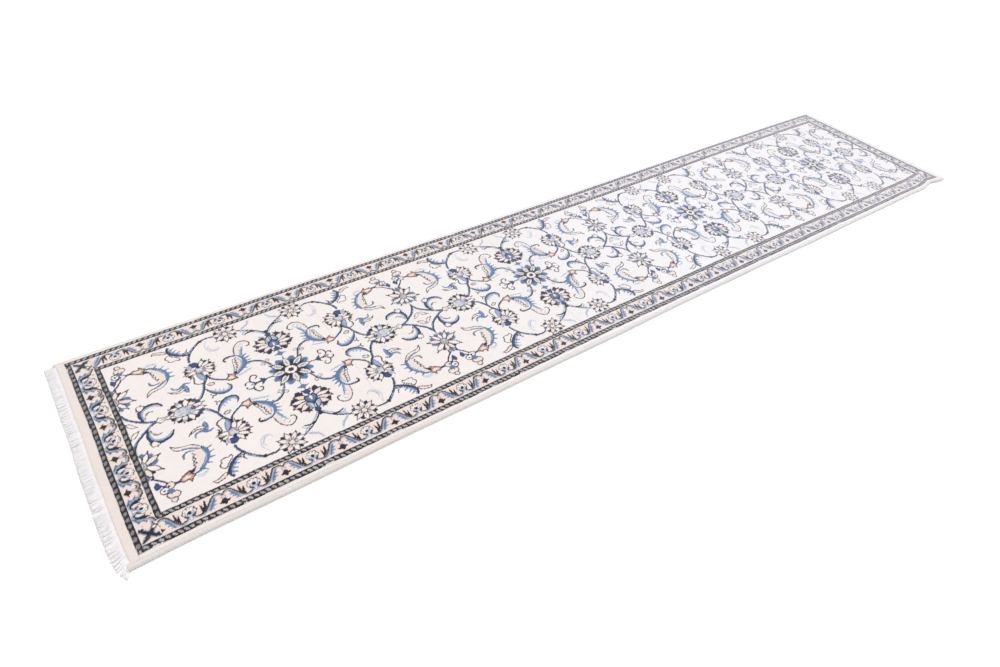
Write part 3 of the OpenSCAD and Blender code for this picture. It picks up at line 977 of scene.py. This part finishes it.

# ---------------------------------------------------------------- the rug in five lengths
# name, from, to, the bodies it lies on (one, or the two either side of a fold, where the piece is attached to
# neither), and where the fold is
LENGTHS = [
    ("near_end", -PILE_X, -1140, ("near_end",), None),
    ("near_fold", -1140, -380, ("near_end", "near_middle"), -970),
    ("centre_fold", -380, 380, ("near_middle", "far_middle"), 0),
    ("far_fold", 380, 1140, ("far_middle", "far_end"), 970),
    ("far_end", 1140, PILE_X, ("far_end",), None),
]
SECTIONS = [("near_end", -PILE_X, -970), ("near_middle", -970, 0), ("far_middle", 0, 970), ("far_end", 970, PILE_X)]
BACK_Y = 394  # half the width of the woven back
PILE_FOOT = 4.0  # height of the back's upper face, where the pile starts


def band(stock, x0, x1, limits):
    """Both long sides of a band of pile between x0 and x1, and its stretch across the end where there is one."""
    outer_y, inner_y, outer_x, inner_x = limits
    a, b = max(x0, -inner_x), min(x1, inner_x)
    boxes = [(a, b, inner_y, outer_y), (a, b, -outer_y, -inner_y)]
    if x0 < -inner_x:
        boxes.append((-outer_x, -inner_x, -outer_y, outer_y))
    if x1 > inner_x:
        boxes.append((inner_x, outer_x, -outer_y, outer_y))
    for box in boxes:
        slab(stock, *box, pile_top, PILE_FOOT, KNOT, lambda x, y, box=box: dyed(x, y, box))


def side_cord(stock, x0, x1, side):
    """The overcast cord along one long side: a rounded oblong of wraps."""
    xs = np.linspace(x0, x1, round((x1 - x0) / 1.4) + 1)
    a = np.linspace(0, 2 * math.pi, 20, endpoint=False)
    wrap = 1 + 0.045 * np.sin(2 * math.pi * (xs[:, None] + 2.2 * np.sin(a)[None] * side) / ROW)
    wrap *= 1 + 0.02 * noise(xs, xs * 0, 23, 31 + side)[:, None]
    wide, high = (np.abs(f) ** power * np.sign(f) for f, power in ((np.cos(a), 0.8), (np.sin(a), 0.7)))
    y = side * 393.6 + 6.3 * wide * (wrap * 0.5 + 0.5)
    z = 5.3 + 5.2 * high * (wrap * 0.5 + 0.5)
    x = np.repeat(xs[:, None], len(a), 1)
    # painted sheen: the cords are painted paler towards the far end, half as much as the plain edges
    colour = PALETTE[INDEX["cream"]] + 0.5 * edge_painted_sheen(x)[..., None] * (PAINTED_SHEEN_COLOUR - PALETTE[INDEX["cream"]])
    colour = colour * (0.95 + 0.07 * speck(x, y, 3.0))[..., None]
    grid, quads = rings(*x.shape)
    stock.add(np.stack([x, y, np.maximum(z, 0.02)], -1), colour, [quads[:, ::-1], grid[:1], grid[-1:, ::-1]])


def fringe(stock, end):
    """The warp ends, knotted at the end strip and cut off, lying over the strip and beyond it as loose strands."""
    rng = np.random.default_rng(40 + end)
    white = 0.82 * to_linear((253, 249, 250))
    bundles, width = 176, 794
    pitch = width / bundles
    x = 1890.0
    for k in range(bundles):
        y = -width / 2 + pitch * (k + 0.5) + rng.normal(0, 0.2)
        knot = [(end * x, y, 7.0), (end * (x + 4), y, 6.0), (end * (x + 8), y, 4.2), (end * (x + 12), y, 2.4)]
        tube(stock, knot, [1.9, 2.2, 2.1, 1.5], 8, white * rng.uniform(0.92, 1.0), 0.75)
        corner = np.exp(-(((y + 402) / 24) ** 2)) if end < 0 else 0.0  # the near right corner fans out
        lean = -0.06 + 0.05 * noise(np.array(y), np.array(0.0), 70, 50 + end) + rng.normal(0, 0.03) - 0.75 * corner
        lean -= 0.35 * corner**0.16
        for row in range(8 + int(8 * corner)):
            long = (rng.uniform(33, 36) if rng.uniform() < 0.8 else rng.uniform(29, 34)) + 4 * (0.5 - y / 800)
            turn, phase = rng.normal(lean, 0.04), rng.uniform(0, 2 * math.pi)
            s = np.linspace(0, 1, 10)
            out = s * long * (1 - 0.1 * corner)
            free = np.clip(out - STRIP, 0, None)  # beyond the end strip
            dy = free * math.sin(turn) + 0.35 * np.sin(phase + 4 * s) - 0.35 * math.sin(phase)
            dx = np.minimum(out, STRIP) + free * math.cos(turn)
            z = 0.7 + 7.4 * (1 - s) ** 3 + 0.8 * (row % 2) + rng.uniform(0, 0.5) * np.sin(math.pi * s)
            strand = np.stack([end * (x + dx), y + (row % 8 - 3.5) * pitch / 8 + dy, z], 1)
            tube(stock, strand, np.linspace(0.95, 0.7, 10), 6, white * rng.uniform(0.86, 1.02), 0.7)


def make_length(name, x0, x1, bodies, fold):
    """All pieces of one length of the rug."""
    end = (x1 == PILE_X) - (x0 == -PILE_X)  # which end of the rug it holds, -1 near or 1 far
    made = []

    def finish_piece(stock, kind, slot, *parts):
        obj = stock.piece(f"{name}_{kind}", MATERIALS[slot])
        if fold is None:
            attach(obj, bodies[0])
        else:
            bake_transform(obj)
        nodes = [f"{section}_{part}" for section, a, b in SECTIONS if x0 < b and x1 > a for part in parts]
        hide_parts(*nodes)
        made.append(obj)
        return obj

    field = Stock()
    slab(field, max(x0, -FIELD_X), min(x1, FIELD_X), -FIELD_Y, FIELD_Y, pile_top, PILE_FOOT, KNOT, dyed)
    finish_piece(field, "field_pile", "wool_field", "field_pile")
    for kind, slot, names in (
        ("guards", "wool_guard", ("outer_guard", "inner_guard")),
        ("main_border", "wool_border", ("main_border",)),
        ("edge_band", "wool_plain_edge", ("edge_band",)),
    ):
        pile = Stock()
        for part in names:
            band(pile, x0, x1, BANDS[part])
        places = ("left", "right", "cross") if end else ("left", "right")
        finish_piece(pile, kind, slot, *(f"{place}_{part}" for place in places for part in names))
    cords = Stock()
    for side in (-1, 1):
        side_cord(cords, x0 - STRIP * (end == -1), x1 + STRIP * (end == 1), side)
    finish_piece(cords, "side_cords", "wool_side_cord", "left_selvedge", "right_selvedge")
    above = list(made)
    back = Stock()
    slab(back, x0, x1, -BACK_Y, BACK_Y, back_face, PILE_FOOT - 0.05, ROW, back_colour, up=False)
    cloth = finish_piece(back, "foundation", "cotton_foundation", "foundation")
    if end:
        weave = Stock()
        a, b = sorted((end * PILE_X, end * (PILE_X + STRIP)))
        slab(weave, a, b, -BACK_Y, BACK_Y, lambda x, y: 3.0 + 0.25 * np.sin(y * 2.1) + 0.1 * speck(x, y), 0.15, 1.25,
             lambda x, y: COTTON * (0.96 + 0.06 * speck(x, y, 4.0))[..., None])
        finish_piece(weave, "kilim_strip", "cotton_end_strip", "kilim_strip")
        tassels = Stock()
        fringe(tassels, end)
        finish_piece(tassels, "fringe", "cotton_fringe", "fringe")
        above += made[-2:]


for length in LENGTHS:
    make_length(*length)

# ---------------------------------------------------------------- floor, light and world
floor_mesh = bpy.data.meshes.new("floor")
floor_mesh.from_pydata([(-40, -40, 0), (40, -40, 0), (40, 40, 0), (-40, 40, 0)], [], [(0, 1, 2, 3)])
floor = bpy.data.objects.new("floor", floor_mesh)
SCENE.collection.objects.link(floor)
paper = bpy.data.materials.new("studio_paper")
paper.use_nodes = True
paper_inputs = paper.node_tree.nodes["Principled BSDF"].inputs
paper_inputs["Base Color"].default_value = (0.96, 0.96, 0.96, 1)
paper_inputs["Roughness"].default_value = 1.0
paper_inputs["Specular IOR Level"].default_value = 0.0
floor_mesh.materials.append(paper)

world = bpy.data.worlds.new("studio")
world.use_nodes = True
world.node_tree.nodes["Background"].inputs[0].default_value = (1, 1, 1, 1)
world.node_tree.nodes["Background"].inputs[1].default_value = 0.98
SCENE.world = world


def lamp(kind, name, place, rotation, strength, colour=(1, 1, 1), **settings):
    data = bpy.data.lights.new(name, kind)
    data.energy, data.color = strength, colour
    for key, value in settings.items():
        setattr(data, key, value)
    obj = bpy.data.objects.new(name, data)
    obj.location = place
    obj.rotation_euler = [math.radians(a) for a in rotation]
    SCENE.collection.objects.link(obj)


# a broad soft light from above the camera's side, and a cooler softbox over the far half
lamp("SUN", "overhead", (0, 0, 3), (28, 0, 150), 1.36, angle=math.radians(50))
lamp("AREA", "far_softbox", (0.9, 0, 1.8), (0, 0, 0), 7.0, (0.27, 0.72, 1.0), shape="RECTANGLE", size=1.8, size_y=2.2)

SCENE.view_settings.view_transform = "Standard"
SCENE.view_settings.look = "None"
SCENE.view_settings.exposure = 0.0
